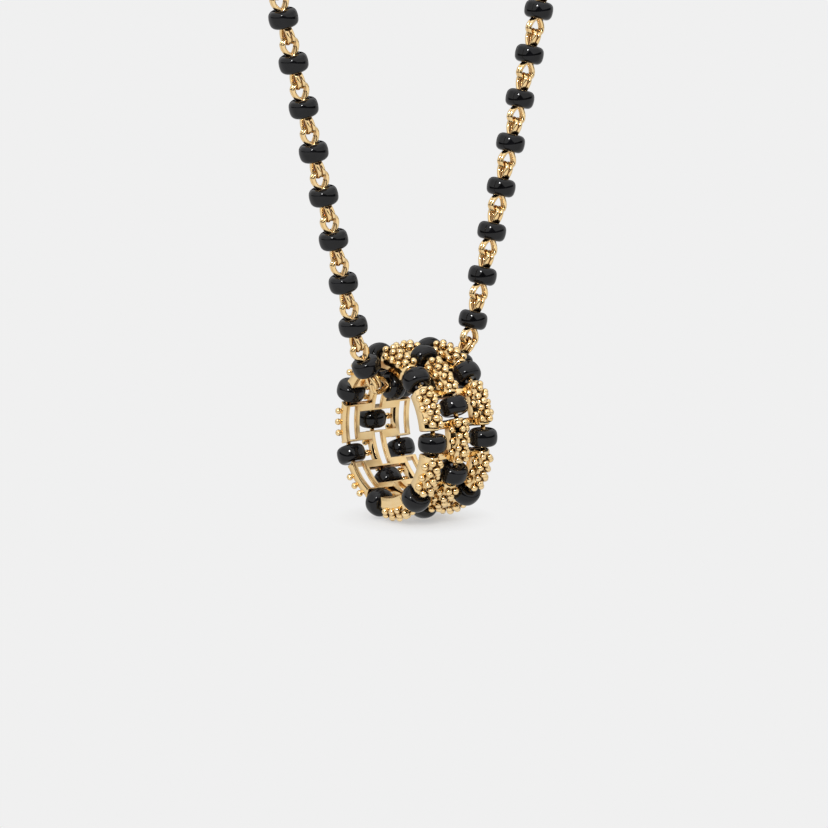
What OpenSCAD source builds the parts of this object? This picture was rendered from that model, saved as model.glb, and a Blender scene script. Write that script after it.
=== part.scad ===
/* [Chain] */
// Number of places on the closed loop, one of them taken by the clasp
chain_places = 99; // [81:2:121]
// Length of loop that one place takes
chain_pitch = 4.535; // [4.5:0.005:4.7]
// Lean of the two strands from upright, in degrees
strand_lean = 14.6; // [12:0.1:17]
// Half the distance between the strands, level with strand_level
strand_x = 6.3; // [5.8:0.05:7]
// Height above the middle of the ring at which strand_x is measured
strand_level = 7.1; // [6:0.1:8]
// Height of the chain where it runs through the ring, above its middle
bottom_z = 4.45; // [4.2:0.05:4.6]
// Radius of the bend between the bottom run and a strand
bend_r = 3.4; // [3:0.1:4]
// Distance of the first bead right of the lowest point, along the chain
first_bead = 1.95; // [1.5:0.05:2.2]

/* [Beads] */
// Radius of every black bead
bead_r = 1.465; // [1.2:0.005:1.47]
// Thickness of every black bead
bead_t = 1.75; // [1.4:0.05:1.75]
// Radius of the rounding of a bead's rim
bead_round = 0.6; // [0.4:0.05:0.75]
// Radius of the small collar at each end of a bead in the ring
ring_collar_r = 0.4; // [0.35:0.05:0.6]
// Distance of that collar's tip from the middle of its bead
ring_collar_tip = 1; // [0.9:0.02:1]
// Radius of the hole drilled through a bead
bore_r = 0.3; // [0.28:0.01:0.34]
// Radius of the gold pin that runs through a bead
pin_r = 0.18; // [0.16:0.01:0.18]

/* [Eye loops] */
// Radius of the middle of the wire of an eye loop
eye_r = 0.69; // [0.6:0.01:0.69]
// Radius of the wire of an eye loop
eye_wire_r = 0.15; // [0.12:0.005:0.15]
// Distance that the middle of the wire reaches past the meeting point of two loops
eye_reach = 0.25; // [0.24:0.01:0.28]

/* [Clasp] */
// Radius of the barrel clasp
clasp_r = 1.5; // [1.2:0.1:2]
// Length of the barrel clasp
clasp_len = 2.4; // [2.3:0.1:2.8]

/* [Ring] */
// Distance between two rows of the ring
row_pitch = 3.03; // [3:0.01:3.2]
// Radius of the circle on which the ring's beads are centred
ring_r = 7.55; // [7.5:0.05:7.7]
// Radius of the inner face of a gold segment
seg_in_r = 6.55; // [6.4:0.05:6.7]
// Radius at which a segment's sides begin to slope
seg_side_r = 7.55; // [7.4:0.05:7.7]
// Radius of the shoulder of a segment
seg_shoulder_r = 8; // [7.9:0.05:8.1]
// Radius of the flat top of a segment, under its granules
seg_top_r = 8.3; // [8.2:0.05:8.35]
// Half width of a segment along the ring's axis
seg_half_w = 0.85; // [0.8:0.05:0.9]
// Half width of a segment at its shoulder
shoulder_half_w = 0.6; // [0.5:0.05:0.7]
// Half width of a segment at its flat top
top_half_w = 0.3; // [0.2:0.05:0.35]
// Half of the angle that a segment spans
seg_half_a = 16.5; // [16:0.5:16.5]
// Half width of the slot through an open segment at the back
slot_half_w = 0.3; // [0.25:0.05:0.5]
// Angle of the wall left at each end of that slot
slot_end_a = 3.7; // [3:0.1:5]
// Radius of the outer face of the plate that the slot goes through
plate_out_r = 6.85; // [6.8:0.05:7]
// Radius of the top of the wall along the left side of an open segment
wall_out_r = 7.5; // [7.4:0.05:7.55]
// Distance of that wall's inner face from the middle of its segment
wall_in_w = 0.6; // [0.5:0.05:0.65]
// Radius of the top of the walls at the two ends of an open segment
end_out_r = 8; // [7.9:0.05:8]
// Width of the bars that join the rows, round the ring
bar_w = 0.85; // [0.6:0.05:0.85]
// Radius of the axle on which a bead of the ring sits
axle_r = 0.19; // [0.15:0.01:0.2]

/* [Granules] */
// Radius of one granule
grain_r = 0.37; // [0.3:0.01:0.37]
// Angle between two granules of a column
grain_step = 8.2; // [8.2:0.1:8.4]
// Radius at which the granules of the middle column are centred
grain_top_r = 8.6; // [8.55:0.01:8.62]
// Radius at which the granules beside the middle column are centred
grain_mid_r = 8.4; // [8.35:0.01:8.42]
// Radius at which the granules along the edges are centred
grain_edge_r = 8.15; // [8.1:0.01:8.2]
// Radius at which the granules on the wall of an open segment are centred
grain_wall_r = 7.82; // [7.75:0.01:7.82]
// Distance of those granules from the middle of their segment
grain_wall_w = 0.9; // [0.8:0.02:0.92]

/* [Hidden] */
round_fn = 48;
ring_fn = 96;
small_fn = 24;
// Black beads in one row of the ring
row_beads = 7;
row_names = ["left", "middle", "right"];
bead_a = 360 / row_beads;
// Segments centred between these two angles, at the ring's back, are open ones
open_from = 100;
open_to = 240;
// Bars start this far inside the side of a segment
bar_bite = 0.15;
bar_in_r = 6.56;
bar_out_r = 7.4;
axle_half = 1.4;
// How far a cutter runs past the solid
past = 1;

// The loop: a short level run, a bend, a straight strand and a wide top arc on each side
loop_len = chain_places * chain_pitch;
half_len = loop_len / 2;
bend_a = 90 - strand_lean;
corner_x = strand_x + tan(strand_lean) * (bottom_z - strand_level);
bend_t = bend_r * tan(bend_a / 2);
top_r = (half_len - corner_x + 2 * bend_t - arc(bend_r, bend_a) + corner_x / sin(strand_lean))
    / (1 / tan(strand_lean) + arc(1, 90 + strand_lean));
top_z = bottom_z + (top_r - corner_x * cos(strand_lean)) / sin(strand_lean);
run_end = corner_x - bend_t;
bend_end = run_end + arc(bend_r, bend_a);
strand_end = bend_end - corner_x * sin(strand_lean)
    + (top_z - bottom_z) * cos(strand_lean) - bend_t;
// Height of the top of the loop above the middle of the ring
hang_z = top_z + top_r;
clasp_place = (chain_places - 1) / 2;

function arc(r, a) = r * a * PI / 180;

// A point of the right half of the loop, at distance s from its lowest point
function half_point(s) =
    s < run_end ? [s, bottom_z]
    : s < bend_end ? on_bend((s - run_end) / arc(bend_r, 1))
    : s < strand_end ? on_bend(bend_a) + (s - bend_end) * [sin(strand_lean), cos(strand_lean)]
    : on_top(bend_a + (s - strand_end) / arc(top_r, 1));
function on_bend(a) = [run_end + bend_r * sin(a), bottom_z + bend_r * (1 - cos(a))];
function on_top(a) = [top_r * sin(a), top_z - top_r * cos(a)];

// A point anywhere on the loop, with s counted to the right
function route(s) =
    let (t = s > half_len ? s - loop_len : s, p = half_point(abs(t)))
    [sign(t) * p[0], p[1]];

// The meeting point of the eye loops of places k - 1 and k
function meeting(k) = route(first_bead + chain_pitch * (k - 0.5));

// Puts its children at place k of the loop, with +X along the chain
module at_place(k) {
    a = meeting(k);
    b = meeting(k + 1);
    translate([(a[0] + b[0]) / 2, 0, (a[1] + b[1]) / 2 - hang_z])
        rotate([0, -atan2(b[1] - a[1], b[0] - a[0]), 0])
            children();
}

// Puts its children in the ring, whose axis is their +Z and whose middle is their origin
module in_ring() {
    translate([0, 0, -hang_z])
        rotate([0, 90, 0])
            rotate(-90)
                children();
}

// A black bead on the X axis, drilled through, with a small collar at each end in the ring
module bead(in_ring = false) {
    core_r = bead_r - bead_round;
    flat_z = bead_t / 2 - bead_round;
    color([0.06, 0.06, 0.07])
        rotate([0, 90, 0])
            difference() {
                union() {
                    if (in_ring)
                        cylinder(h = 2 * ring_collar_tip, r = ring_collar_r, center = true,
                            $fn = small_fn);
                    rotate_extrude($fn = round_fn)
                        polygon(concat([[0, bead_t / 2]],
                            [for (a = [90:-15:0]) [core_r, flat_z] + bead_round * [cos(a), sin(a)]],
                            [for (a = [0:-15:-90]) [core_r, -flat_z] + bead_round * [cos(a), sin(a)]],
                            [[0, -bead_t / 2]]));
                }
                cylinder(h = 2 * ring_collar_tip + past, r = bore_r, center = true,
                    $fn = small_fn);
            }
}

// One round eye loop lying flat, centred on the origin
module eye_loop() {
    rotate_extrude($fn = small_fn)
        translate([eye_r, 0])
            circle(r = eye_wire_r, $fn = 16);
}

// The two eye loops at the ends of one place, turned a quarter from each other
module eye_pair() {
    eye_x = chain_pitch / 2 + eye_reach - eye_r;
    translate([-eye_x, 0, 0])
        rotate([90, 0, 0])
            eye_loop();
    translate([eye_x, 0, 0])
        eye_loop();
}

// The gold pin through a bead, with its eye loops
module link() {
    root_x = chain_pitch / 2 + eye_reach - 2 * eye_r;
    color([0.85, 0.62, 0.3]) {
        rotate([0, 90, 0])
            cylinder(h = 2 * root_x, r = pin_r, center = true, $fn = small_fn);
        eye_pair();
    }
}

module chain_links() {
    for (k = [0:chain_places - 1])
        if (k != clasp_place)
            at_place(k) link();
}

module chain_beads() {
    for (k = [0:chain_places - 1])
        if (k != clasp_place)
            at_place(k) bead();
}

module clasp() {
    rim = 0.25;
    half = clasp_len / 2;
    color([0.85, 0.62, 0.3])
        at_place(clasp_place) {
            rotate([0, 90, 0])
                rotate_extrude($fn = round_fn)
                    polygon([[0, -half], [clasp_r - rim, -half], [clasp_r, rim - half],
                        [clasp_r, half - rim], [clasp_r - rim, half], [0, half]]);
            eye_pair();
        }
}

// A column of n granules across the ring's axis at offset z, centred at radius r
module grain_column(n, r, z) {
    for (i = [0:n - 1])
        rotate(grain_step * (i - (n - 1) / 2))
            translate([r, 0, z])
                sphere(r = grain_r, $fn = small_fn);
}

// The body of a segment, centred on the +X side of the ring's axis
module segment_body() {
    rotate(-seg_half_a)
        rotate_extrude(angle = 2 * seg_half_a, $fn = ring_fn)
            polygon([[seg_in_r, -seg_half_w], [seg_side_r, -seg_half_w],
                [seg_shoulder_r, -shoulder_half_w], [seg_top_r, -top_half_w],
                [seg_top_r, top_half_w], [seg_shoulder_r, shoulder_half_w],
                [seg_side_r, seg_half_w], [seg_in_r, seg_half_w]]);
}

module closed_segment() {
    mid_z = seg_half_w / 2;
    segment_body();
    grain_column(3, grain_top_r, 0);
    for (side = [-1, 1]) {
        grain_column(4, grain_mid_r, side * mid_z);
        grain_column(3, grain_edge_r, side * seg_half_w);
    }
}

// A segment that is a slotted plate with a wall at each end and one with granules at its left
module open_segment() {
    slot_a = seg_half_a - slot_end_a;
    wide = seg_half_w + past;
    high = seg_top_r + past;
    difference() {
        segment_body();
        rotate(-slot_a)
            rotate_extrude(angle = 2 * slot_a, $fn = ring_fn)
                polygon([[seg_in_r - past, -slot_half_w], [plate_out_r, -slot_half_w],
                    [plate_out_r, -wall_in_w], [wall_out_r, -wall_in_w], [wall_out_r, -wide],
                    [high, -wide], [high, wide], [plate_out_r, wide],
                    [plate_out_r, slot_half_w], [seg_in_r - past, slot_half_w]]);
        rotate(-2 * seg_half_a)
            rotate_extrude(angle = 4 * seg_half_a, $fn = ring_fn)
                translate([end_out_r, -wide])
                    square([high - end_out_r, 2 * wide]);
    }
    grain_column(3, grain_wall_r, -grain_wall_w);
}

// Angle of bead k of a row; the outer rows line up and the middle row is half a step on
function ring_bead_a(row, k) = bead_a * (k - 1 + (row == 0 ? 0.5 : 0));

// The segment that follows bead k, and the axle through that bead
module segment(row, k) {
    a = ring_bead_a(row, k) + bead_a / 2;
    turn = a % 360;
    translate([0, 0, row * row_pitch]) {
        rotate(a)
            if (turn > open_from && turn < open_to) open_segment();
            else closed_segment();
    }
}

module axle(row, k) {
    translate([0, 0, row * row_pitch])
        rotate(ring_bead_a(row, k))
            translate([ring_r, 0, 0])
                rotate([90, 0, 0])
                    cylinder(h = 2 * axle_half, r = axle_r, center = true, $fn = small_fn);
}

// Short bars across both gaps between the rows, where their segments overlap
module row_bars() {
    reach = row_pitch - 2 * (seg_half_w - bar_bite);
    for (j = [0:2 * row_beads - 1], side = [-1, 1])
        rotate(bead_a * (j + 0.5) / 2)
            translate([(bar_in_r + bar_out_r) / 2, 0, side * row_pitch / 2])
                cube([bar_out_r - bar_in_r, bar_w, reach], center = true);
}

module pendant_frame() {
    color([0.85, 0.62, 0.3])
        in_ring() {
            for (row = [-1:1], k = [1:row_beads])
                segment(row, k);
            for (row = [-1:1], k = [1:row_beads])
                axle(row, k);
            row_bars();
        }
}

module ring_bead(row, k) {
    in_ring()
        translate([0, 0, row * row_pitch])
            rotate(ring_bead_a(row, k))
                translate([ring_r, 0, 0])
                    rotate(90)
                        bead(in_ring = true);
}

chain_links();
chain_beads();
clasp();
pendant_frame();
for (row = [-1:1], k = [1:row_beads])
    ring_bead(row, k);
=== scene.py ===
"""Looks of a mangalsutra: a chain of black beads and gold eye loops through a granulated ring."""

import math
import random
from collections import namedtuple

import bmesh
import bpy
from mathutils import Matrix, Vector


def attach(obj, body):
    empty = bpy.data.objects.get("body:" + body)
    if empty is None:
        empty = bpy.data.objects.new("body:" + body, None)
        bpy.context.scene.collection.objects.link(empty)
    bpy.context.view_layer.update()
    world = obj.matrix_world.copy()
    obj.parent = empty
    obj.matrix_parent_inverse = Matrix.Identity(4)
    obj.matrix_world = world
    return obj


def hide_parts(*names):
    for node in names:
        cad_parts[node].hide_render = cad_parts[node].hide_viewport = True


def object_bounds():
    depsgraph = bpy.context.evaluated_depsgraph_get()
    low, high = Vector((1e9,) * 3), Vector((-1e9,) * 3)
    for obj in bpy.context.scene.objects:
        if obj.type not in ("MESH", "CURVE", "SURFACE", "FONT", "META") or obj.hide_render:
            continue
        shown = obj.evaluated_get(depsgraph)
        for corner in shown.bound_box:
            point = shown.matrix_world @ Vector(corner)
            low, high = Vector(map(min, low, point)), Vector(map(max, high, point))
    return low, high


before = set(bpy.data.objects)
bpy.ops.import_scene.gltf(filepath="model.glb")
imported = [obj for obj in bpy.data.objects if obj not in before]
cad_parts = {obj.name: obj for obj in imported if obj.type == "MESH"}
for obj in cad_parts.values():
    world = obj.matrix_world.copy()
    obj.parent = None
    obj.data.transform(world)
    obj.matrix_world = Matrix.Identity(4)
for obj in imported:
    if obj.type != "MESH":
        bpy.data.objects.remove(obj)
CAD_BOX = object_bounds()

bl_info = {
    "name": "Mangalsutra with Bead Ring",
    "version": (1, 0, 0),
    "blender": (4, 5, 0),
    "location": "View3D > Sidebar > Mangalsutra",
    "description": (
        "Builds a necklace of black beads and gold eye loops "
        "with a granulated ring pendant"),
    "category": "Add Mesh",
}

MM = 0.001
FULL_TURN = 2 * math.pi
UPWARD = Vector((0, 0, 1))
IN_PLACE = (Matrix.Identity(4),)

# The rows of the ring, by their place along its axis in row pitches
ROWS = {-1: "left", 0: "middle", 1: "right"}
ROW_BEADS = 7
BEAD_TURN = FULL_TURN / ROW_BEADS

# Steps that the round shapes are made with
CHAIN_BEAD_STEPS = 36
RING_BEAD_STEPS = 48
BEAD_SIDE_STEPS = 4
BEAD_CORNER_STEPS = 8
PIN_STEPS = 10
AXLE_STEPS = 20
CLASP_STEPS = 48
SEGMENT_STEPS = 12

# Points of an eye loop: shares of the way along its side, then degrees round its tip
EYE_SIDE = (0, 0.15, 0.3, 0.5, 0.75)
EYE_TIP = (90, 72, 54, 36, 18)

# A column of granules across a segment: how many, on which radius, how far along the axis
Column = namedtuple("Column", "granules radius offset")
# How the granules of the closed segments differ: start of the draws, size and shift
GRANULE_SEED = 5
GRANULE_SCALE = (0.98, 1.14)
GRANULE_SHIFT = 0.07 * MM

# Points closer than this are one point, and faces thinner than this are none
WELD = 0.0005 * MM
SLIVER = 0.001 * MM

# Sockets of a Mix node for colours: its factor and two colours, and its result
MIX_INPUTS = (0, 6, 7)
MIX_RESULT = 2

FLOOR_REACH = 8.0

# The room that metal and beads reflect, as stops of (cosine, brightness). The cosine is that
# of the angle from the way to the camera for walls, table and the line's ends, and from
# upward for the others
WALLS = [(-1, 0.8), (-0.6, 0.75), (0, 0.85), (0.45, 1.1), (1, 1.1)]
TABLE = [(-1, 0.6), (-0.6, 0.65), (-0.4, 0.88), (0.2, 0.9), (0.5, 1.0), (1, 1.0)]
LAMP = [(-1, 0), (0.6, 0), (0.85, 0.4), (1, 0.5)]
OVER_TABLE = [(-1, 0), (-0.01, 0), (0.01, 1), (1, 1)]
DARK_LINE = [(-1, 1), (-0.06, 1), (-0.045, 0), (0.09, 0), (0.11, 1), (1, 1)]
LINE_ENDS = [(-1, 1), (-0.4, 1), (-0.2, 0), (1, 0)]
# The two slanting sides of the dark part of the walls, which lean by this rise and side
SLOPE = [(-1, 0), (0.38, 0), (0.41, 1), (1, 1)]
SLOPE_RISE, SLOPE_SIDE = 0.76, 0.65


def length(name, description, millimetres):
    """A length property whose default is given in millimetres."""
    return bpy.props.FloatProperty(
        name=name, description=description, default=millimetres * MM,
        min=0.0, soft_max=0.5, precision=6, unit="LENGTH")


def turn(name, description, degrees):
    """An angle property whose default is given in degrees."""
    return bpy.props.FloatProperty(
        name=name, description=description, default=math.radians(degrees),
        precision=4, unit="ROTATION")


def colour(name, description, rgb):
    """A colour property with linear values."""
    return bpy.props.FloatVectorProperty(
        name=name, description=description, default=rgb, size=3,
        min=0.0, max=1.0, subtype="COLOR")


class ChainSettings(bpy.types.PropertyGroup):
    places: bpy.props.IntProperty(
        name="Places", description="Places on the loop, one of them the clasp's",
        default=99, min=3)
    pitch: length("Pitch", "Length of loop that one place takes", 4.535)
    strand_lean: turn("Strand lean", "Lean of the strands from upright", 14.6)
    strand_x: length("Strand distance", "Half the distance between the strands", 6.3)
    strand_level: length("Strand level", "Height over the ring's middle of that distance", 7.1)
    bottom_z: length("Bottom height", "Height of the chain over the ring's middle", 4.45)
    bend_r: length("Bend radius", "Radius of the bend under a strand", 3.4)
    first_bead: length("First bead", "Distance of the first bead from the lowest point", 1.95)
    twist: turn("Twist", "Turn of the eye loops about the chain", -5)


class BeadSettings(bpy.types.PropertyGroup):
    radius: length("Radius", "Radius of a black bead", 1.455)
    thickness: length("Thickness", "Thickness of a black bead", 1.77)
    side_r: length("Side radius", "Radius of the bulge of a bead's side", 2.0)
    corner_r: length("Corner radius", "Radius of the rounding between side and face", 0.58)
    chain_bore: length("Chain bore", "Radius of the hole of a bead on the chain", 0.64)
    ring_bore: length("Ring bore", "Radius of the hole of a bead in the ring", 0.24)


class EyeSettings(bpy.types.PropertyGroup):
    wire_r: length("Wire radius", "Radius of one wire of an eye loop", 0.21)
    half_width: length("Half width", "Half of the widest distance across a loop", 0.75)
    root_half_width: length("Root half width", "Half of that distance inside the bead", 0.1)
    root: length("Root", "Distance of a loop's root from the middle of its bead", 0.72)
    tip_length: length("Tip length", "Length of the round tip of a loop", 0.55)
    reach: length("Reach", "How far a loop reaches past the meeting point", 0.2)
    root_gap: length("Root gap", "Half of the distance of the two wires at the root", 0.22)
    tip_gap: length("Tip gap", "Half of the distance of the two wires at the tip", 0.225)
    pin_r: length("Pin radius", "Radius of the pin through a bead", 0.18)


class ClaspSettings(bpy.types.PropertyGroup):
    half_length: length("Half length", "Half of the length of the barrel", 1.2)
    radius: length("Radius", "Radius of the barrel", 1.5)
    rim: length("Rim", "Radius of the rounding at the ends of the barrel", 0.25)
    hole_r: length("Hole", "Radius of the hole along the barrel", 0.2)
    groove: length("Groove depth", "Depth of the groove round the middle", 0.06)
    groove_half_w: length("Groove half width", "Half width of that groove", 0.08)


class RingSettings(bpy.types.PropertyGroup):
    row_pitch: length("Row pitch", "Distance between two rows", 3.03)
    bead_r: length("Bead circle", "Radius of the circle of the ring's beads", 7.55)
    inner_r: length("Inner face", "Radius of the inner face of a segment", 6.55)
    side_r: length("Side", "Radius at which a segment's sides begin to slope", 7.55)
    shoulder_r: length("Shoulder", "Radius of a segment's shoulder", 8.0)
    top_r: length("Top", "Radius of a segment's top", 8.3)
    half_w: length("Half width", "Half width of a segment", 0.85)
    shoulder_half_w: length("Shoulder half width", "Half width at the shoulder", 0.6)
    top_half_w: length("Top half width", "Half width of the top", 0.3)
    half_a: turn("Half angle", "Half of the angle of a segment", 16.5)
    slot_half_w: length("Slot half width", "Half width of the slot of an open segment", 0.41)
    slot_end_a: turn("Slot end", "Angle of the wall at each end of a slot", 1.8)
    plate_r: length("Plate", "Radius of the outer face of a slotted plate", 6.95)
    wall_r: length("Wall", "Radius of the top of the wall at a plate's left", 7.5)
    wall_in_w: length("Wall distance", "Distance of that wall's inner face from the middle", 0.6)
    end_r: length("End wall", "Radius of the top of the walls at a plate's ends", 7.6)
    open_from: turn("Open from", "Segments past this angle are open", 100)
    open_to: turn("Open to", "Segments past this angle are closed again", 240)
    grain_r: length("Granule", "Radius of a granule", 0.35)
    grain_step: turn("Granule step", "Angle between two granules of a column", 8.2)
    grain_top_r: length("Granule top", "Radius of a top column's granules", 8.57)
    grain_mid_r: length("Granule flank", "Radius of the granules beside that column", 8.37)
    grain_edge_r: length("Granule edge", "Radius of the granules along a side", 7.85)
    grain_edge_out: length("Granule overhang", "How far past the side those lie", 0.05)
    grain_wall_r: length("Granule wall", "Radius of the granules of a plate's wall", 7.82)
    grain_wall_w: length("Granule wall distance", "Distance of those from the middle", 0.9)
    bar_w: length("Bar width", "Width of the bars between the rows", 0.85)
    bar_in_r: length("Bar inner face", "Radius of the inner face of a bar", 6.54)
    bar_out_r: length("Bar outer face", "Radius of the outer face of a bar", 7.4)
    bar_bite: length("Bar bite", "How far a bar reaches into a segment", 0.15)
    bar_round: length("Bar rounding", "Rounding of the outer edges of a bar", 0.25)
    axle_r: length("Axle", "Radius of an axle", 0.23)
    axle_half: length("Axle half length", "Half of the length of an axle", 1.4)
    end_round: length("End rounding", "Rounding of the ends of a closed segment", 0.16)
    edge_round: length("Edge rounding", "Rounding of the edges of the metal", 0.06)
    plate_round: length("Plate rounding", "Rounding of the edges of a plate", 0.048)


class FinishSettings(bpy.types.PropertyGroup):
    gold: colour("Gold", "Colour of the gold", (0.89, 0.665, 0.36))
    gold_warm: colour("Warm gold", "Colour of the redder clouds in the gold", (0.87, 0.615, 0.29))
    # The next two colours are painted shade, mixed into the gold deep in its hollows
    recess_shade: colour("Recess", "Colour of the gold deep between the granules", (0.09, 0.035, 0.008))
    wire_recess_shade: colour("Wire recess", "Colour of the gold between the wires", (0.34, 0.14, 0.03))
    bead: colour("Bead", "Colour of the black beads", (0.003, 0.003, 0.0033))
    bead_cloud: colour("Bead cloud", "Colour of the faint clouds in a bead", (0.007, 0.007, 0.0085))


class StageSettings(bpy.types.PropertyGroup):
    azimuth: turn("Azimuth", "Turn of the camera round the ring from the front", -34.65)
    elevation: turn("Elevation", "Height of the camera over the ring's middle, as an angle", 10)
    distance: length("Distance", "Distance of the camera from the ring's middle", 430)
    aim_right: length("Aim right", "How far right of the ring's middle the camera aims", -0.03)
    aim_up: length("Aim up", "How far over the ring's middle the camera aims", 1.51)
    focal_pixels: bpy.props.FloatProperty(
        name="Focal length", description="Focal length in pixels of the picture", default=4300.0)
    picture: bpy.props.IntProperty(
        name="Picture", description="Width of the picture in pixels", default=828)
    floor_gap: length("Floor gap", "Distance of the floor under the ring", 0.1)
    floor_shade: bpy.props.FloatProperty(
        name="Floor shade", description="How much light the floor gives back at the foot",
        default=0.34)
    floor_light: bpy.props.FloatProperty(
        name="Floor light", description="How much light reaches the open floor", default=1.29)
    key_strength: bpy.props.FloatProperty(
        name="Key strength", description="Strength of the key light", default=1.3)
    key_width: turn("Key width", "Width of the key light as seen from the ring", 9)
    shadow_reach: length("Shadow reach", "How far from the foot the floor takes a shadow", 8.5)
    backdrop: bpy.props.FloatProperty(
        name="Backdrop", description="Brightness of the backdrop", default=0.8714)


class NecklaceSettings(bpy.types.PropertyGroup):
    chain: bpy.props.PointerProperty(type=ChainSettings)
    bead: bpy.props.PointerProperty(type=BeadSettings)
    eye: bpy.props.PointerProperty(type=EyeSettings)
    clasp: bpy.props.PointerProperty(type=ClaspSettings)
    ring: bpy.props.PointerProperty(type=RingSettings)
    finish: bpy.props.PointerProperty(type=FinishSettings)
    stage: bpy.props.PointerProperty(type=StageSettings)


def settings():
    """The sizes, colours and stage values that a user can change."""
    return bpy.context.scene.mangalsutra


class Loop:
    """The route of the chain: a level run, a bend, a straight strand and a wide top arc a side."""

    def __init__(self, c):
        self.c = c
        self.total = c.places * c.pitch
        self.bend_a = math.pi / 2 - c.strand_lean
        corner = c.strand_x + math.tan(c.strand_lean) * (c.bottom_z - c.strand_level)
        cut = c.bend_r * math.tan(self.bend_a / 2)
        sine, cosine = math.sin(c.strand_lean), math.cos(c.strand_lean)
        rest = self.total / 2 - corner + 2 * cut - c.bend_r * self.bend_a + corner / sine
        self.top_r = rest / (cosine / sine + math.pi / 2 + c.strand_lean)
        self.top_z = c.bottom_z + (self.top_r - corner * cosine) / sine
        self.run_end = corner - cut
        self.bend_end = self.run_end + c.bend_r * self.bend_a
        self.strand_end = (
            self.bend_end - corner * sine + (self.top_z - c.bottom_z) * cosine - cut)
        self.hang = self.top_z + self.top_r

    def on_bend(self, a):
        """A point of the right bend, at an angle from its start."""
        r = self.c.bend_r
        return Vector((self.run_end + r * math.sin(a), self.c.bottom_z + r * (1 - math.cos(a))))

    def point(self, s):
        """A point at distance s from the lowest point, counted to the right, as x and height."""
        if s > self.total / 2:
            s -= self.total
        d = abs(s)
        lean = self.c.strand_lean
        if d < self.run_end:
            p = Vector((d, self.c.bottom_z))
        elif d < self.bend_end:
            p = self.on_bend((d - self.run_end) / self.c.bend_r)
        elif d < self.strand_end:
            p = self.on_bend(self.bend_a) + (d - self.bend_end) * Vector(
                (math.sin(lean), math.cos(lean)))
        else:
            a = self.bend_a + (d - self.strand_end) / self.top_r
            p = Vector((self.top_r * math.sin(a), self.top_z - self.top_r * math.cos(a)))
        return Vector((math.copysign(p.x, s), p.y))

    def place(self, k):
        """The matrix that puts a unit, lying along X, at place k of the loop."""
        a, b = (self.point(self.c.first_bead + self.c.pitch * (j - 0.5)) for j in (k, k + 1))
        along = (b - a).normalized()
        x = Vector((along.x, 0, along.y))
        side = Vector((-math.sin(self.c.twist), math.cos(self.c.twist), 0))
        y = (side - side.dot(x) * x).normalized()
        z = x.cross(y)
        middle = Vector(((a.x + b.x) / 2, 0, (a.y + b.y) / 2 - self.hang))
        return Matrix.Translation(middle) @ Matrix((x, y, z)).transposed().to_4x4()

    def clasp_place(self):
        """The number of the place that the clasp takes, at the top of the loop."""
        return (self.c.places - 1) // 2

    def bead_places(self):
        """The matrices of all places but the clasp's."""
        return [self.place(k) for k in range(self.c.places) if k != self.clasp_place()]


def ring_matrix():
    """The matrix of the ring, whose axis is local Z and whose middle is the local origin."""
    turned = Matrix(((0, 0, 1), (-1, 0, 0), (0, -1, 0))).to_4x4()
    return Matrix.Translation((0, 0, -Loop(settings().chain).hang)) @ turned


def bead_angle(row, k):
    """The angle of bead k of a row. The middle row is half a place ahead of the others."""
    return BEAD_TURN * (k - 1 + (0.5 if row == 0 else 0))


def material(name, build):
    """A node material that is made once and then shared."""
    found = bpy.data.materials.get(name)
    if found is None:
        found = bpy.data.materials.new(name)
        found.use_nodes = True
        build(found.node_tree)
    return found


def link(tree, source, target):
    """Joins two sockets."""
    tree.links.new(source, target)


def noise(tree, scale, detail):
    """A noise texture on the piece's own coordinates."""
    place = tree.nodes.new("ShaderNodeTexCoord")
    texture = tree.nodes.new("ShaderNodeTexNoise")
    texture.inputs["Scale"].default_value = scale
    texture.inputs["Detail"].default_value = detail
    link(tree, place.outputs["Object"], texture.inputs["Vector"])
    return texture


def ramp(tree, source, stops):
    """A colour ramp with (position, colour) stops."""
    node = tree.nodes.new("ShaderNodeValToRGB")
    node.color_ramp.elements[0].position = stops[0][0]
    node.color_ramp.elements[0].color = (*stops[0][1], 1)
    node.color_ramp.elements[1].position = stops[-1][0]
    node.color_ramp.elements[1].color = (*stops[-1][1], 1)
    for position, rgb in stops[1:-1]:
        node.color_ramp.elements.new(position).color = (*rgb, 1)
    link(tree, source, node.inputs["Fac"])
    return node


def grey(value):
    """A colour with the same value for red, green and blue."""
    return (value, value, value)


def map_range(tree, value, start, end, first, last):
    """A value that goes from first to last while another goes from start to end."""
    node = tree.nodes.new("ShaderNodeMapRange")
    for name, number in (("From Min", start), ("From Max", end),
                         ("To Min", first), ("To Max", last)):
        node.inputs[name].default_value = number
    link(tree, value, node.inputs["Value"])
    return node.outputs["Result"]


def distance_from(tree, middle, axes):
    """The distance of the piece's points from a middle, along the axes that are 1."""
    place = tree.nodes.new("ShaderNodeTexCoord")
    kept = tree.nodes.new("ShaderNodeVectorMath")
    kept.operation = "MULTIPLY_ADD"
    kept.inputs[1].default_value = axes
    kept.inputs[2].default_value = [-at * axis for at, axis in zip(middle, axes)]
    link(tree, place.outputs["Object"], kept.inputs[0])
    away = tree.nodes.new("ShaderNodeVectorMath")
    away.operation = "LENGTH"
    link(tree, kept.outputs["Vector"], away.inputs[0])
    return away.outputs["Value"]


def mixed(tree, kind, factor, first, second):
    """Mixes two colours. The factor and the colours are values or the sockets of other nodes."""
    node = tree.nodes.new("ShaderNodeMix")
    node.data_type = "RGBA"
    node.blend_type = kind
    for number, value in zip(MIX_INPUTS, (factor, first, second)):
        if isinstance(value, (float, tuple)):
            node.inputs[number].default_value = value
        else:
            link(tree, value, node.inputs[number])
    return node.outputs[MIX_RESULT]


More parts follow.
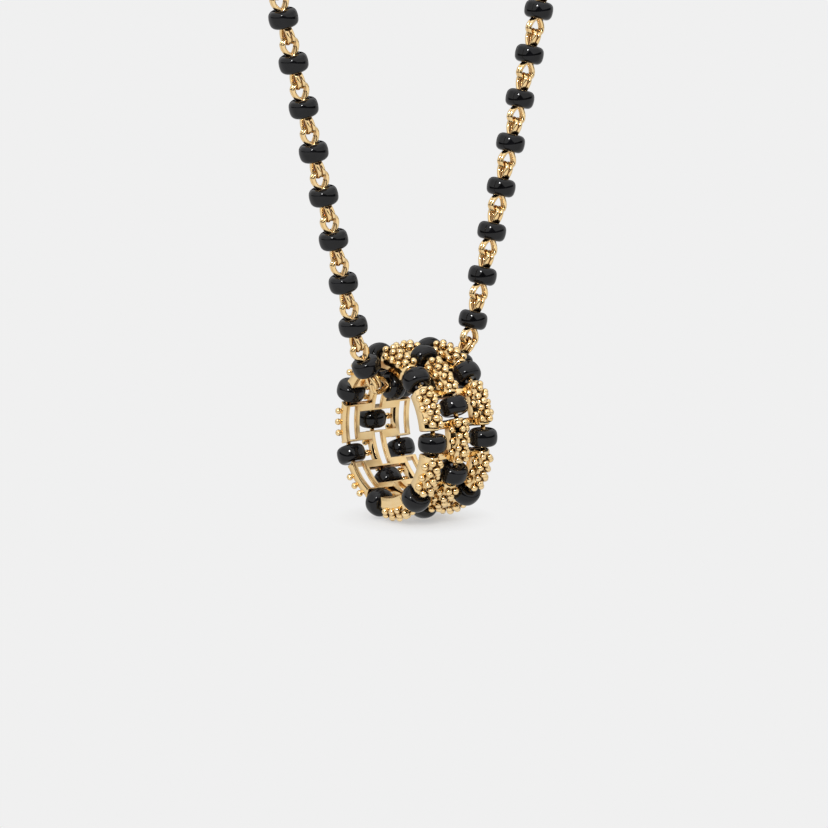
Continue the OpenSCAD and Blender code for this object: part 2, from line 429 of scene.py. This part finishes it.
def bump(tree, height, distance, strength):
    """Raises the shader's surface by a height."""
    node = tree.nodes.new("ShaderNodeBump")
    node.inputs["Distance"].default_value = distance
    node.inputs["Strength"].default_value = strength
    link(tree, height, node.inputs["Height"])
    link(tree, node.outputs["Normal"], tree.nodes["Principled BSDF"].inputs["Normal"])


def polished_gold(tree):
    """Polished gold with faint warm clouds and fine polishing marks."""
    finish = settings().finish
    shader = tree.nodes["Principled BSDF"]
    shader.inputs["Metallic"].default_value = 1.0
    clouds = noise(tree, scale=900, detail=3)
    tint = ramp(tree, clouds.outputs["Fac"], [(0.35, finish.gold_warm), (0.65, finish.gold)])
    link(tree, tint.outputs["Color"], shader.inputs["Base Color"])
    marks = noise(tree, scale=4000, detail=4)
    rough = ramp(tree, marks.outputs["Fac"], [(0.3, grey(0.03)), (0.7, grey(0.09))])
    link(tree, rough.outputs["Color"], shader.inputs["Roughness"])
    bump(tree, marks.outputs["Fac"], distance=0.006 * MM, strength=0.25)


def openness(tree, distance, start, end):
    """A value that is 0 deep in a hollow and 1 in the open, which says where shade is painted."""
    depth = tree.nodes.new("ShaderNodeAmbientOcclusion")
    depth.samples = 6
    depth.inputs["Distance"].default_value = distance
    return ramp(tree, depth.outputs["AO"], [(start, grey(0)), (end, grey(1))]).outputs["Color"]


def paint_shade(tree, shade_colour, lit):
    """Paints shade: mixes a darker colour into the shader's own where a value is low."""
    base = tree.nodes["Principled BSDF"].inputs["Base Color"]
    own = base.links[0].from_socket
    link(tree, mixed(tree, "MIX", lit, (*shade_colour, 1), own), base)


def wire_gold(tree):
    """Polished gold with painted shade where the wires of the loops lie close together."""
    polished_gold(tree)
    lit = openness(tree, distance=0.3 * MM, start=0.4, end=0.92)
    paint_shade(tree, settings().finish.wire_recess_shade, lit)


def granulated_gold(tree):
    """Polished gold, satin on the ring's inner face, with dark painted shade deep between its
    granules and brown painted shade in the hollows of its inner part, as in its slots.
    """
    polished_gold(tree)
    r = settings().ring
    finish = settings().finish
    away = distance_from(tree, (0, 0, -Loop(settings().chain).hang), axes=(0, 1, 1))

    def paint_shade_except(deep, lit, kept):
        """Paints shade into hollows, but not where kept is 1."""
        plain = tree.nodes.new("ShaderNodeMath")
        plain.operation = "MAXIMUM"
        link(tree, lit, plain.inputs[0])
        link(tree, kept, plain.inputs[1])
        paint_shade(tree, deep, plain.outputs["Value"])

    satin = map_range(
        tree, away, start=r.inner_r + 0.006 * MM, end=r.inner_r + 0.025 * MM,
        first=0.3, last=0.06)
    link(tree, satin, tree.nodes["Principled BSDF"].inputs["Roughness"])
    # Dark painted shade between the granules; the axles and all nearer the middle are kept out of
    # it
    inside = map_range(
        tree, away, start=r.bead_r + 0.2 * MM, end=r.bead_r + 0.35 * MM, first=1.0, last=0.0)
    paint_shade_except(finish.recess_shade, openness(tree, distance=0.35 * MM, start=0.3, end=0.85), inside)
    # Brown painted shade in the hollows of the inner part, such as the slot walls; the outer part
    # is kept out of it
    outside = map_range(
        tree, away, start=r.bar_out_r - 0.2 * MM, end=r.bar_out_r - 0.1 * MM,
        first=0.0, last=1.0)
    paint_shade_except(finish.wire_recess_shade, openness(tree, distance=0.9 * MM, start=0.5, end=0.9), outside)


def polished_black(tree):
    """Glossy black stone with faint clouds under a clear polish."""
    finish = settings().finish
    shader = tree.nodes["Principled BSDF"]
    shader.inputs["IOR"].default_value = 1.36
    clouds = noise(tree, scale=700, detail=4)
    tint = ramp(tree, clouds.outputs["Fac"], [(0.4, finish.bead), (0.75, finish.bead_cloud)])
    link(tree, tint.outputs["Color"], shader.inputs["Base Color"])
    marks = noise(tree, scale=2500, detail=3)
    rough = ramp(tree, marks.outputs["Fac"], [(0.3, grey(0.02)), (0.7, grey(0.06))])
    link(tree, rough.outputs["Color"], shader.inputs["Roughness"])
    bump(tree, marks.outputs["Fac"], distance=0.003 * MM, strength=0.2)


def gold():
    """The material of the chain and its clasp."""
    return material("polished gold", wire_gold)


def ring_gold():
    """The material of the ring's frame."""
    return material("granulated gold", granulated_gold)


def black():
    """The material of all the beads."""
    return material("polished black stone", polished_black)


def to_mesh(bm, name):
    """Turns a finished bmesh into a smooth shaded mesh with its faces outwards."""
    bmesh.ops.remove_doubles(bm, verts=bm.verts, dist=WELD)
    bmesh.ops.recalc_face_normals(bm, faces=bm.faces)
    mesh = bpy.data.meshes.new(name)
    bm.to_mesh(mesh)
    bm.free()
    mesh.shade_smooth()
    return mesh


def add_object(name, data):
    """Adds an object to the scene."""
    thing = bpy.data.objects.new(name, data)
    bpy.context.scene.collection.objects.link(thing)
    return thing


def evaluated(thing):
    """An object as its modifiers and curve settings make it."""
    bpy.context.view_layer.update()
    return thing.evaluated_get(bpy.context.evaluated_depsgraph_get())


def finish_piece(name, mesh, surface, body, nodes):
    """Adds a finished piece, which rides on its body and stands for its nodes."""
    mesh.materials.clear()
    mesh.materials.append(surface)
    piece = add_object(name, mesh)
    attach(piece, body)
    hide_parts(*nodes)
    return piece


def joined(name, parts):
    """Joins copies of meshes without touching their faces, from (mesh, matrices) pairs."""
    bm = bmesh.new()
    for mesh, matrices in parts:
        for matrix in matrices:
            one = mesh.copy()
            one.transform(matrix)
            bm.from_mesh(one)
            bpy.data.meshes.remove(one)
    whole = bpy.data.meshes.new(name)
    bm.to_mesh(whole)
    bm.free()
    whole.shade_smooth()
    return whole


def turned(bm, profile, axis, angle, steps):
    """Spins a closed line of points round an axis through the origin."""
    verts = [bm.verts.new(p) for p in profile]
    edges = [bm.edges.new(pair) for pair in zip(verts, verts[1:] + verts[:1])]
    full = angle >= FULL_TURN
    bmesh.ops.spin(
        bm, geom=verts + edges, cent=(0, 0, 0), axis=axis, angle=angle, steps=steps,
        use_merge=full)
    if not full:
        ends = [e for e in bm.edges if e.is_boundary]
        bmesh.ops.holes_fill(bm, edges=ends, sides=0)


def rod(radius, depth, steps):
    """A round rod lying along X."""
    bm = bmesh.new()
    bmesh.ops.create_cone(
        bm, cap_ends=True, segments=steps, radius1=radius, radius2=radius, depth=depth,
        matrix=Matrix.Rotation(math.pi / 2, 4, "Y"))
    return to_mesh(bm, "rod")


def bevel(bm, edges, radius, segments):
    """Rounds the given edges."""
    bmesh.ops.bevel(
        bm, geom=edges, offset=radius, offset_type="OFFSET", segments=segments, profile=0.5,
        affect="EDGES", material=-1, clamp_overlap=True)


def round_edges(bm, radius, sharper_than):
    """Rounds every edge that is sharper than an angle in degrees."""
    bmesh.ops.recalc_face_normals(bm, faces=bm.faces)
    limit = math.radians(sharper_than)
    sharp = [e for e in bm.edges if len(e.link_faces) == 2 and e.calc_face_angle() > limit]
    bevel(bm, sharp, radius, segments=2)


def bead_outline(bore):
    """Points of half a bead's outline, from its equator to its bore."""
    b = settings().bead
    corner_x = b.thickness / 2 - b.corner_r
    rise = math.sqrt((b.side_r - b.corner_r) ** 2 - corner_x ** 2)
    middle_r = b.radius - b.side_r
    turn_a = math.atan2(corner_x, rise)
    points = []
    for i in range(BEAD_SIDE_STEPS):
        a = turn_a * i / BEAD_SIDE_STEPS
        points.append((b.side_r * math.sin(a), middle_r + b.side_r * math.cos(a)))
    for i in range(BEAD_CORNER_STEPS + 1):
        a = turn_a + (math.pi / 2 - turn_a) * i / BEAD_CORNER_STEPS
        points.append((corner_x + b.corner_r * math.sin(a),
                       middle_r + rise + b.corner_r * math.cos(a)))
    return points + [(b.thickness / 2, bore)]


def bead_mesh(bore, steps):
    """A bead lying along X with a hole of the given radius."""
    outline = bead_outline(bore)
    profile = [(x, r, 0) for x, r in outline]
    profile += [(-x, r, 0) for x, r in reversed(outline[1:])]
    bm = bmesh.new()
    turned(bm, profile, (1, 0, 0), FULL_TURN, steps)
    return to_mesh(bm, "bead")


def eye_line():
    """Points of an eye loop, from its root round its tip and back, as x and y."""
    e = settings().eye
    reach = settings().chain.pitch / 2 + e.reach
    wide = reach - e.tip_length
    half = []
    for u in EYE_SIDE:
        out = e.half_width - e.root_half_width
        half.append((e.root + (wide - e.root) * u, e.root_half_width + out * (1 - (1 - u) ** 2)))
    for degrees in EYE_TIP:
        a = math.radians(degrees)
        half.append((wide + e.tip_length * math.cos(a), e.half_width * math.sin(a)))
    return half + [(reach, 0)] + [(x, -y) for x, y in reversed(half)]


def eye_wire_mesh(side):
    """One wire of an eye loop, in the XY plane and a little to one side of it."""
    e = settings().eye
    points = eye_line()
    reach = max(x for x, y in points)
    curve = bpy.data.curves.new("eye wire", "CURVE")
    curve.dimensions = "3D"
    curve.bevel_depth = e.wire_r
    curve.bevel_resolution = 2
    curve.use_fill_caps = True
    line = curve.splines.new("POLY")
    line.points.add(len(points) - 1)
    for point, (x, y) in zip(line.points, points):
        along = (x - e.root) / (reach - e.root)
        point.co = (x, y, side * (e.root_gap + (e.tip_gap - e.root_gap) * along), 1)
    holder = add_object("eye wire", curve)
    mesh = bpy.data.meshes.new_from_object(evaluated(holder))
    bpy.data.objects.remove(holder)
    bpy.data.curves.remove(curve)
    return mesh


def eye_ends():
    """The wires at the two ends of a unit, the loop at its start turned a quarter."""
    start = Matrix.Rotation(math.pi, 4, "Z") @ Matrix.Rotation(math.pi / 2, 4, "X")
    end = Matrix.Identity(4)
    return [(eye_wire_mesh(side), (start, end)) for side in (-1, 1)]


class MANGALSUTRA_OT_chain_beads(bpy.types.Operator):
    """Add the black beads of the chain"""
    bl_idname = "mangalsutra.chain_beads"
    bl_label = "Chain Beads"

    def execute(self, context):
        bead = bead_mesh(settings().bead.chain_bore, CHAIN_BEAD_STEPS)
        mesh = joined("chain beads", [(bead, Loop(settings().chain).bead_places())])
        finish_piece("chain_black_beads", mesh, black(), "chain", ["chain_beads"])
        return {"FINISHED"}


class MANGALSUTRA_OT_eye_loops(bpy.types.Operator):
    """Add the pins through the beads, with a doubled eye loop at each end"""
    bl_idname = "mangalsutra.eye_loops"
    bl_label = "Eye Loops"

    def execute(self, context):
        e = settings().eye
        pin = rod(e.pin_r, 2 * (e.root + e.wire_r), PIN_STEPS)
        unit = joined("unit", [(pin, IN_PLACE), *eye_ends()])
        mesh = joined("eye loops", [(unit, Loop(settings().chain).bead_places())])
        finish_piece("chain_eye_loops", mesh, gold(), "chain", ["chain_links"])
        return {"FINISHED"}


class MANGALSUTRA_OT_clasp(bpy.types.Operator):
    """Add the plain barrel clasp at the top of the loop"""
    bl_idname = "mangalsutra.clasp"
    bl_label = "Barrel Clasp"

    def execute(self, context):
        c = settings().clasp
        profile = [(c.half_length, c.hole_r), (c.half_length, c.radius - c.rim)]
        for a in (math.radians(degrees) for degrees in (30, 60, 90)):
            profile.append((c.half_length - c.rim + c.rim * math.cos(a),
                            c.radius - c.rim + c.rim * math.sin(a)))
        profile += [(c.groove_half_w, c.radius), (0, c.radius - c.groove)]
        points = [(x, r, 0) for x, r in profile]
        points += [(-x, r, 0) for x, r in reversed(profile[:-1])]
        bm = bmesh.new()
        turned(bm, points, (1, 0, 0), FULL_TURN, CLASP_STEPS)
        unit = joined("clasp", [(to_mesh(bm, "barrel"), IN_PLACE), *eye_ends()])
        loop = Loop(settings().chain)
        unit.transform(loop.place(loop.clasp_place()))
        piece = finish_piece("clasp_barrel", unit, gold(), "chain", ["clasp"])
        piece.modifiers.new("even shading", "WEIGHTED_NORMAL")
        return {"FINISHED"}


def segment_outline(r):
    """The cross section of a segment, as radius and distance along the ring's axis."""
    half = [(r.inner_r, r.half_w), (r.side_r, r.half_w), (r.shoulder_r, r.shoulder_half_w),
            (r.top_r, r.top_half_w)]
    return half + [(radius, -z) for radius, z in reversed(half)]


def swept(outline, half_a):
    """A bmesh of an outline spun about Z from -half_a to half_a."""
    start = Matrix.Rotation(-half_a, 4, "Z")
    bm = bmesh.new()
    turned(bm, [start @ Vector((radius, 0, z)) for radius, z in outline],
           (0, 0, 1), 2 * half_a, SEGMENT_STEPS)
    return bm


def granule_places(columns):
    """The matrices of the granules of some columns."""
    step = settings().ring.grain_step
    return [
        Matrix.Rotation(step * (i - (column.granules - 1) / 2), 4, "Z")
        @ Matrix.Translation((column.radius, 0, column.offset))
        for column in columns for i in range(column.granules)]


def granule_mesh():
    """One granule, with few faces because it is repeated hundreds of times."""
    bm = bmesh.new()
    bmesh.ops.create_icosphere(bm, subdivisions=2, radius=settings().ring.grain_r)
    return to_mesh(bm, "granule")


def strewn(matrices, chance):
    """Matrices of granules, each moved a little and of a slightly different size."""
    moved = []
    for matrix in matrices:
        shift = Matrix.Translation(
            [chance.uniform(-GRANULE_SHIFT, GRANULE_SHIFT) for _ in range(3)])
        moved.append(matrix @ shift @ Matrix.Scale(chance.uniform(*GRANULE_SCALE), 4))
    return moved


def closed_segment_mesh(granule, chance):
    """A segment with its top covered in granules."""
    r = settings().ring
    bm = swept(segment_outline(r), r.half_a)
    # Only the two end faces have more than four corners
    ends = [e for e in bm.edges if sum(len(f.verts) > 4 for f in e.link_faces) == 1]
    bevel(bm, ends, r.end_round, segments=4)
    round_edges(bm, r.edge_round, sharper_than=20)
    columns = [Column(3, r.grain_top_r, 0)]
    for side in (-1, 1):
        columns.append(Column(4, r.grain_mid_r, side * r.half_w / 2))
        columns.append(Column(3, r.grain_edge_r, side * (r.half_w + r.grain_edge_out)))
    granules = strewn(granule_places(columns), chance)
    body = to_mesh(bm, "segment body")
    return joined("closed segment", [(body, IN_PLACE), (granule, granules)])


def cut_away(bm, cutter):
    """Cuts one bmesh out of another and returns the rest as a new bmesh."""
    pair = []
    for part in (bm, cutter):
        pair.append(add_object("part", to_mesh(part, "part")))
    knife = pair[0].modifiers.new("cut", "BOOLEAN")
    knife.operation = "DIFFERENCE"
    knife.solver = "EXACT"
    knife.object = pair[1]
    rest = bmesh.new()
    rest.from_mesh(evaluated(pair[0]).to_mesh())
    for holder in pair:
        bpy.data.objects.remove(holder)
    bmesh.ops.dissolve_degenerate(rest, dist=SLIVER, edges=rest.edges)
    return rest


def open_segment_mesh(granule):
    """A slotted plate with a wall at each end, and a wall with granules at its left."""
    r = settings().ring
    slot_a = r.half_a - r.slot_end_a
    low, high, wide = r.inner_r - MM, r.top_r + MM, r.half_w + MM
    outline = [(low, -r.slot_half_w), (r.plate_r, -r.slot_half_w), (r.plate_r, -r.wall_in_w),
               (r.wall_r, -r.wall_in_w), (r.wall_r, -wide), (high, -wide), (high, wide),
               (r.plate_r, wide), (r.plate_r, r.slot_half_w), (low, r.slot_half_w)]
    crown = [(r.end_r, -wide), (high, -wide), (high, wide), (r.end_r, wide)]
    bm = cut_away(swept(segment_outline(r), r.half_a), swept(crown, 2 * r.half_a))
    bm = cut_away(bm, swept(outline, slot_a))
    round_edges(bm, r.plate_round, sharper_than=25)
    body = to_mesh(bm, "segment body")
    granules = granule_places([Column(3, r.grain_wall_r, -r.grain_wall_w)])
    return joined("open segment", [(body, IN_PLACE), (granule, granules)])


def segment_places():
    """The matrices of the closed and of the open segments."""
    r = settings().ring
    closed, opened = [], []
    for row in ROWS:
        for k in range(1, ROW_BEADS + 1):
            a = (bead_angle(row, k) + BEAD_TURN / 2) % FULL_TURN
            place = Matrix.Translation((0, 0, row * r.row_pitch)) @ Matrix.Rotation(a, 4, "Z")
            (opened if r.open_from < a < r.open_to else closed).append(place)
    return closed, opened


def axle_place(row, k):
    """The matrix that puts a unit lying along X in the ring's row at bead k."""
    r = settings().ring
    return (
        Matrix.Translation((0, 0, row * r.row_pitch))
        @ Matrix.Rotation(bead_angle(row, k), 4, "Z")
        @ Matrix.Translation((r.bead_r, 0, 0))
        @ Matrix.Rotation(math.pi / 2, 4, "Z"))


def bar_mesh():
    """A bar that joins two rows, lying along Z, with its outer edges well rounded."""
    r = settings().ring
    reach = r.row_pitch - 2 * (r.half_w - r.bar_bite)
    bm = bmesh.new()
    bmesh.ops.create_cube(bm, size=1, matrix=Matrix.Diagonal(
        (r.bar_out_r - r.bar_in_r, r.bar_w, reach, 1)))
    outer = [e for e in bm.edges
             if all(v.co.x > 0 for v in e.verts) and e.verts[0].co.y == e.verts[1].co.y]
    bevel(bm, outer, r.bar_round, segments=4)
    round_edges(bm, r.edge_round, sharper_than=40)
    return to_mesh(bm, "bar")


def bar_places():
    """The matrices of the bars, one on each side of the middle row at every half place."""
    r = settings().ring
    return [
        Matrix.Rotation(BEAD_TURN * (j + 0.5) / 2, 4, "Z")
        @ Matrix.Translation(((r.bar_in_r + r.bar_out_r) / 2, 0, side * r.row_pitch / 2))
        for j in range(2 * ROW_BEADS) for side in (-1, 1)]


class MANGALSUTRA_OT_ring_frame(bpy.types.Operator):
    """Add the gold frame of the ring: segments with granules, axles and bars"""
    bl_idname = "mangalsutra.ring_frame"
    bl_label = "Ring Frame"

    def execute(self, context):
        r = settings().ring
        granule = granule_mesh()
        closed, opened = segment_places()
        axle = rod(r.axle_r, 2 * r.axle_half, AXLE_STEPS)
        axles = [axle_place(row, k) for row in ROWS for k in range(1, ROW_BEADS + 1)]
        chance = random.Random(GRANULE_SEED)
        parts = [(closed_segment_mesh(granule, chance), [place]) for place in closed]
        parts += [(open_segment_mesh(granule), opened), (axle, axles), (bar_mesh(), bar_places())]
        mesh = joined("ring frame", parts)
        mesh.transform(ring_matrix())
        piece = finish_piece(
            "ring_frame_gold", mesh, ring_gold(), "pendant", ["pendant_frame"])
        piece.modifiers.new("even shading", "WEIGHTED_NORMAL")
        return {"FINISHED"}


class MANGALSUTRA_OT_ring_beads(bpy.types.Operator):
    """Add the black beads of the ring, each on its axle"""
    bl_idname = "mangalsutra.ring_beads"
    bl_label = "Ring Beads"

    def execute(self, context):
        one = bead_mesh(settings().bead.ring_bore, RING_BEAD_STEPS)
        for row, row_name in ROWS.items():
            for k in range(1, ROW_BEADS + 1):
                mesh = one.copy()
                mesh.transform(ring_matrix() @ axle_place(row, k))
                node = f"bead_{row_name}_{k}"
                finish_piece(f"ring_{node}", mesh, black(), "pendant", [node])
        return {"FINISHED"}


def plain_floor(tree):
    """A pale glowing floor that takes the light, and so a shadow, only near the ring's foot."""
    s = settings().stage
    shader = tree.nodes["Principled BSDF"]
    shader.inputs["Roughness"].default_value = 1.0
    shader.inputs["Specular IOR Level"].default_value = 0.0
    shader.inputs["Emission Color"].default_value = (*grey(1.0), 1)
    away = distance_from(tree, (0, 0, 0), axes=(1, 1, 0))
    glow_at_foot = s.backdrop - s.floor_shade * s.floor_light
    for socket, first, last in (("Base Color", s.floor_shade, 0.0),
                                ("Emission Strength", glow_at_foot, s.backdrop)):
        fall = map_range(tree, away, s.shadow_reach / 4, s.shadow_reach, first, last)
        link(tree, fall, shader.inputs[socket])


def camera_axes():
    """The camera's right, up and back directions."""
    s = settings().stage
    sa, ca = math.sin(s.azimuth), math.cos(s.azimuth)
    se, ce = math.sin(s.elevation), math.cos(s.elevation)
    back = Vector((sa * ce, -ca * ce, se))
    right = Vector((ca, sa, 0))
    return right, back.cross(right), back


def add_camera():
    """Adds the camera at the viewing angle, aimed near the ring's middle."""
    s = settings().stage
    right, up, back = camera_axes()
    middle = Vector((0, 0, -Loop(settings().chain).hang))
    data = bpy.data.cameras.new("camera")
    data.sensor_width = 36
    data.lens = data.sensor_width * s.focal_pixels / s.picture
    data.clip_start = 0.01
    data.clip_end = 100
    camera = add_object("camera", data)
    place = middle + s.distance * back + s.aim_right * right + s.aim_up * up
    facing = Matrix((right, up, back)).transposed().to_4x4()
    camera.matrix_world = Matrix.Translation(place) @ facing
    bpy.context.scene.camera = camera


def add_floor():
    """Adds the floor just under the ring."""
    s = settings().stage
    bm = bmesh.new()
    bmesh.ops.create_grid(bm, x_segments=1, y_segments=1, size=FLOOR_REACH)
    level = CAD_BOX[0][2] - s.floor_gap
    bmesh.ops.translate(bm, verts=bm.verts, vec=(0, 0, level))
    mesh = to_mesh(bm, "floor")
    mesh.materials.append(material("pale floor", plain_floor))
    floor = add_object("floor", mesh)
    floor.visible_glossy = False


def add_key_light():
    """A soft sun from above and behind the camera, a little to its left."""
    right, _, back = camera_axes()
    data = bpy.data.lights.new("key", "SUN")
    data.energy = settings().stage.key_strength
    data.angle = settings().stage.key_width
    key = add_object("key", data)
    behind, above, left = 0.81, 0.42, 0.23
    towards = back * behind + UPWARD * above - right * left
    key.rotation_euler = towards.to_track_quat("Z", "Y").to_euler()


def add_room():
    """A studio seen in the reflections, with a dark line round the camera's side of it."""
    right, _, back = camera_axes()
    scene = bpy.context.scene
    world = bpy.data.worlds.new("room")
    scene.world = world
    world.use_nodes = True
    tree = world.node_tree
    direction = tree.nodes.new("ShaderNodeTexCoord").outputs["Generated"]

    def towards(vector, stops):
        """A ramp over the cosine between the direction and a vector, from -1 to 1."""
        dot = tree.nodes.new("ShaderNodeVectorMath")
        dot.operation = "DOT_PRODUCT"
        link(tree, direction, dot.inputs[0])
        dot.inputs[1].default_value = vector
        share = tree.nodes.new("ShaderNodeMapRange")
        share.inputs["From Min"].default_value = -1.0
        link(tree, dot.outputs["Value"], share.inputs["Value"])
        return ramp(tree, share.outputs["Result"],
                    [((cosine + 1) / 2, grey(value)) for cosine, value in stops]).outputs["Color"]

    walls = mixed(tree, "ADD", 1.0, towards(back, WALLS), towards(UPWARD, LAMP))
    slopes = [towards(UPWARD * SLOPE_RISE + right * side, SLOPE)
              for side in (-SLOPE_SIDE, SLOPE_SIDE)]
    walls = mixed(tree, "MULTIPLY", 1.0, walls, mixed(tree, "LIGHTEN", 1.0, *slopes))
    room = mixed(tree, "MIX", towards(UPWARD, OVER_TABLE), towards(back, TABLE), walls)
    line = mixed(tree, "LIGHTEN", 1.0, towards(UPWARD, DARK_LINE), towards(back, LINE_ENDS))
    room = mixed(tree, "MULTIPLY", 1.0, room, line)
    path = tree.nodes.new("ShaderNodeLightPath")
    backdrop = (*grey(settings().stage.backdrop), 1)
    seen = mixed(tree, "MIX", path.outputs["Is Camera Ray"], room, backdrop)
    link(tree, seen, tree.nodes["Background"].inputs["Color"])


class MANGALSUTRA_OT_stage(bpy.types.Operator):
    """Add the camera, the floor and the soft light"""
    bl_idname = "mangalsutra.stage"
    bl_label = "Stage"

    def execute(self, context):
        view = context.scene.view_settings
        view.view_transform = "Standard"
        view.look = "None"
        add_camera()
        add_floor()
        add_key_light()
        add_room()
        return {"FINISHED"}


class MANGALSUTRA_PT_panel(bpy.types.Panel):
    """Lists the pieces of the necklace in the sidebar"""
    bl_idname = "MANGALSUTRA_PT_panel"
    bl_label = "Mangalsutra"
    bl_space_type = "VIEW_3D"
    bl_region_type = "UI"
    bl_category = "Mangalsutra"

    def draw(self, context):
        column = self.layout.column(align=True)
        for operator in OPERATORS:
            column.operator(operator.bl_idname)


OPERATORS = (
    MANGALSUTRA_OT_stage,
    MANGALSUTRA_OT_chain_beads,
    MANGALSUTRA_OT_eye_loops,
    MANGALSUTRA_OT_clasp,
    MANGALSUTRA_OT_ring_frame,
    MANGALSUTRA_OT_ring_beads,
)
GROUPS = (
    ChainSettings, BeadSettings, EyeSettings, ClaspSettings, RingSettings, FinishSettings,
    StageSettings, NecklaceSettings,
)


def register():
    for group in GROUPS:
        bpy.utils.register_class(group)
    bpy.types.Scene.mangalsutra = bpy.props.PointerProperty(type=NecklaceSettings)
    for operator in OPERATORS:
        bpy.utils.register_class(operator)
    bpy.utils.register_class(MANGALSUTRA_PT_panel)


def unregister():
    bpy.utils.unregister_class(MANGALSUTRA_PT_panel)
    for operator in reversed(OPERATORS):
        bpy.utils.unregister_class(operator)
    del bpy.types.Scene.mangalsutra
    for group in reversed(GROUPS):
        bpy.utils.unregister_class(group)


def main():
    register()
    bpy.ops.mangalsutra.stage()
    bpy.ops.mangalsutra.chain_beads()
    bpy.ops.mangalsutra.eye_loops()
    bpy.ops.mangalsutra.clasp()
    bpy.ops.mangalsutra.ring_frame()
    bpy.ops.mangalsutra.ring_beads()


if __name__ == "__main__":
    main()
